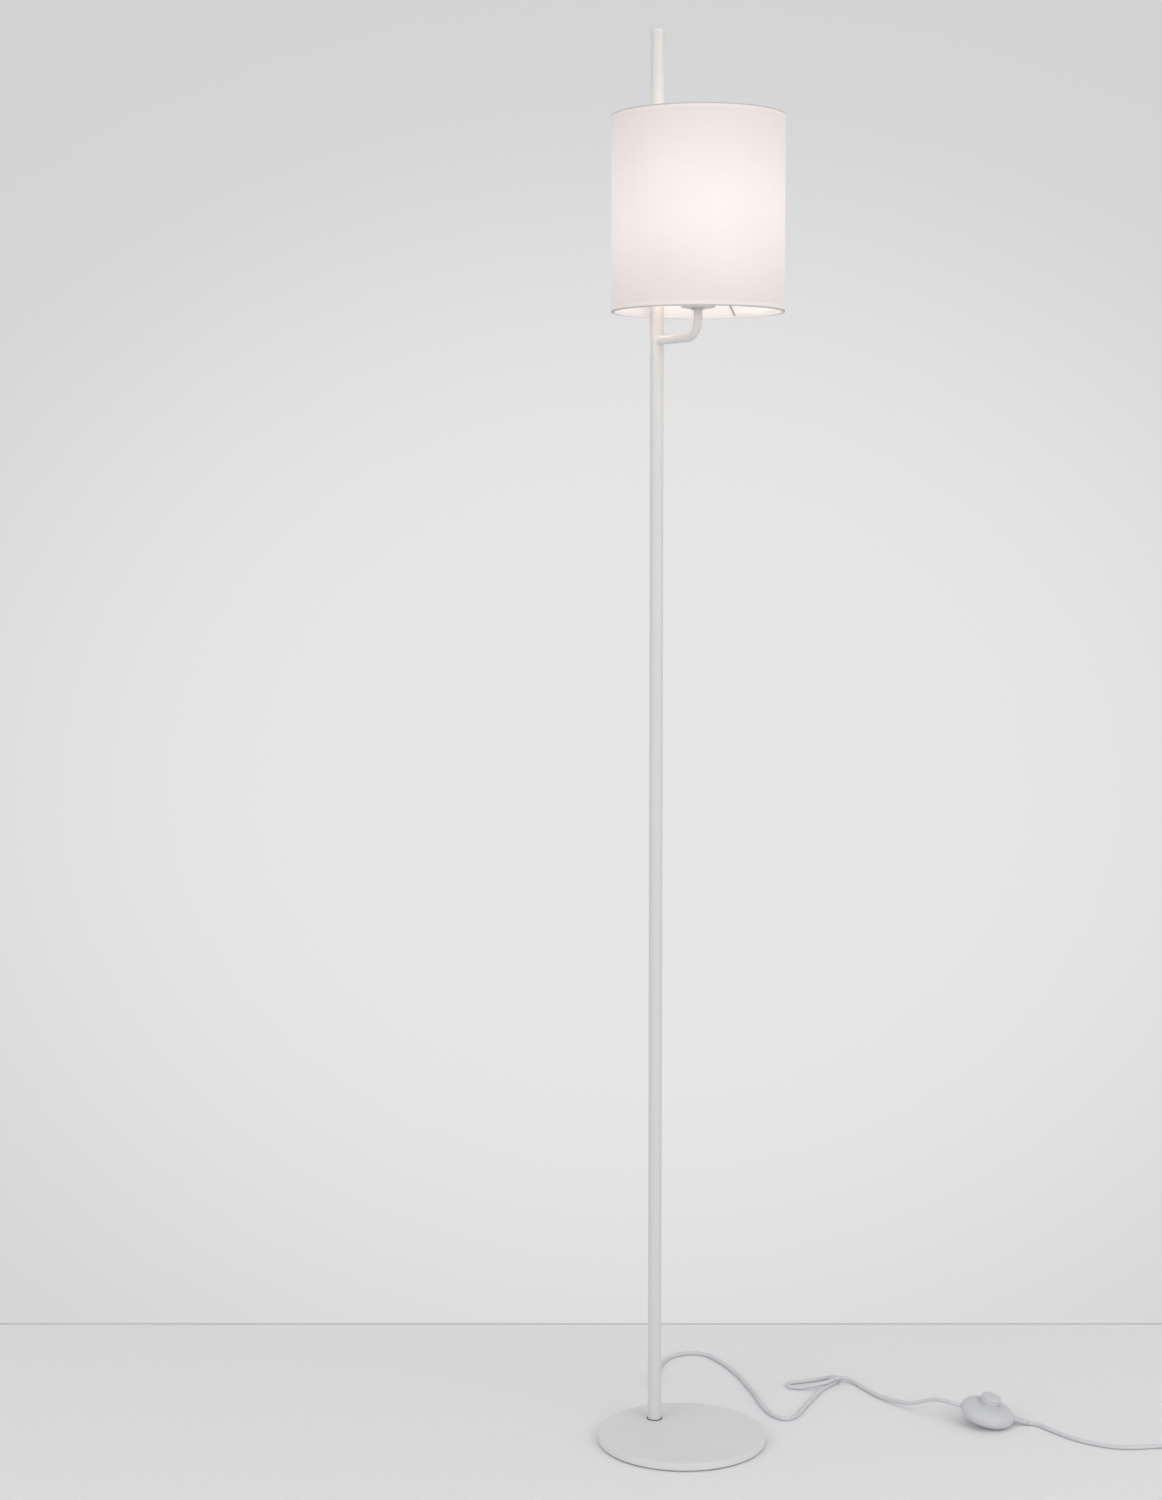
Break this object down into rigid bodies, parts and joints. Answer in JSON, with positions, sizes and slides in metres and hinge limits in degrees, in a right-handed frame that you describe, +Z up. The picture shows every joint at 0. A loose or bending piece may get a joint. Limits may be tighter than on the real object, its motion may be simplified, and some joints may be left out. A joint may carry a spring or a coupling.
{
  "type": "column floor lamp",
  "caption": "Slender column floor lamp: round foot disc, off-centre pole passing through a drum shade on a bent side arm, lead with a round foot switch and flat plug.",
  "frame": {"origin": "centre of the foot disc, on the floor", "axes": "+Z up; +X from the pole towards the axis of the shade, along the arm; +Y completes a right-handed frame"},
  "size_m": [0.6273, 0.7345, 1.67],
  "materials": {
    "painted_steel": "smooth white paint, soft sheen",
    "plated_steel": "bright zinc plate",
    "spring_steel": "drawn wire",
    "dark_seal": "matt",
    "foam_pad": "matt",
    "white_plastic": "satin",
    "white_wire": "satin paint",
    "core_ceramic": "matt glaze",
    "contact_brass": "bright",
    "nickel": "bright nickel plate",
    "bulb_shell": "satin",
    "opal_globe": "frosted opal",
    "shade_fabric": "plain weave cloth, laminated",
    "shade_film": "satin film",
    "shade_tape": "folded cloth tape",
    "lead_pvc": "smooth soft sheath",
    "switch_plastic": "smooth moulding",
    "switch_inner": "matt",
    "plug_plastic": "smooth moulding",
    "pin_sleeve": "matt"
  },
  "bodies": {
    "lamp": {"base_disc": "painted_steel", "base_pad": "foam_pad", "base_screw": "plated_steel", "foot_pin": "plated_steel", "foot_insert": "plated_steel", "foot_ring": "dark_seal", "pole_tube": "painted_steel", "pole_cap": "white_plastic", "arm_tube": "painted_steel", "cable_outlet": "white_plastic", "inner_cable": "lead_pvc", "lock_nut": "plated_steel", "holder_cap": "white_plastic", "holder_core": "core_ceramic", "holder_terminals": "contact_brass", "holder_contact": "contact_brass", "holder_thread_shell": "contact_brass", "holder_skirt": "white_plastic", "shade_ring_lower": "white_plastic", "shade_ring_upper": "white_plastic", "bulb_cap": "nickel", "bulb_contact": "nickel", "bulb_housing": "bulb_shell", "bulb_globe": "opal_globe", "shade_cloth": "shade_fabric", "shade_lining": "shade_film", "shade_top_ring": "white_wire", "shade_spider": "white_wire", "shade_top_trim": "shade_tape", "shade_bottom_trim": "shade_tape", "cord_to_switch": "lead_pvc", "switch_base": "switch_plastic", "switch_cover": "switch_plastic", "switch_spring": "spring_steel", "switch_module": "switch_inner", "switch_contacts": "contact_brass", "switch_clamps": "white_plastic", "switch_screws": "plated_steel", "switch_gland": "switch_plastic", "switch_leads": "lead_pvc", "cord_to_coil": "lead_pvc", "cord_coil": "lead_pvc", "coil_tie": "white_plastic", "cord_to_plug": "lead_pvc", "plug_body": "plug_plastic", "plug_pins": "nickel", "plug_pin_sleeves": "pin_sleeve"},
    "foot_button": {"switch_button": "switch_plastic"}
  },
  "joints": [
    {"name": "foot_button_press", "type": "slide", "parent": "lamp", "child": "foot_button", "axis": [-0.1969, -0.1254, -0.9724], "range_m": [0, 0.004], "stiffness_N_per_m": 400, "springref_m": -0.002, "deforming": ["switch_spring"]}
  ]
}
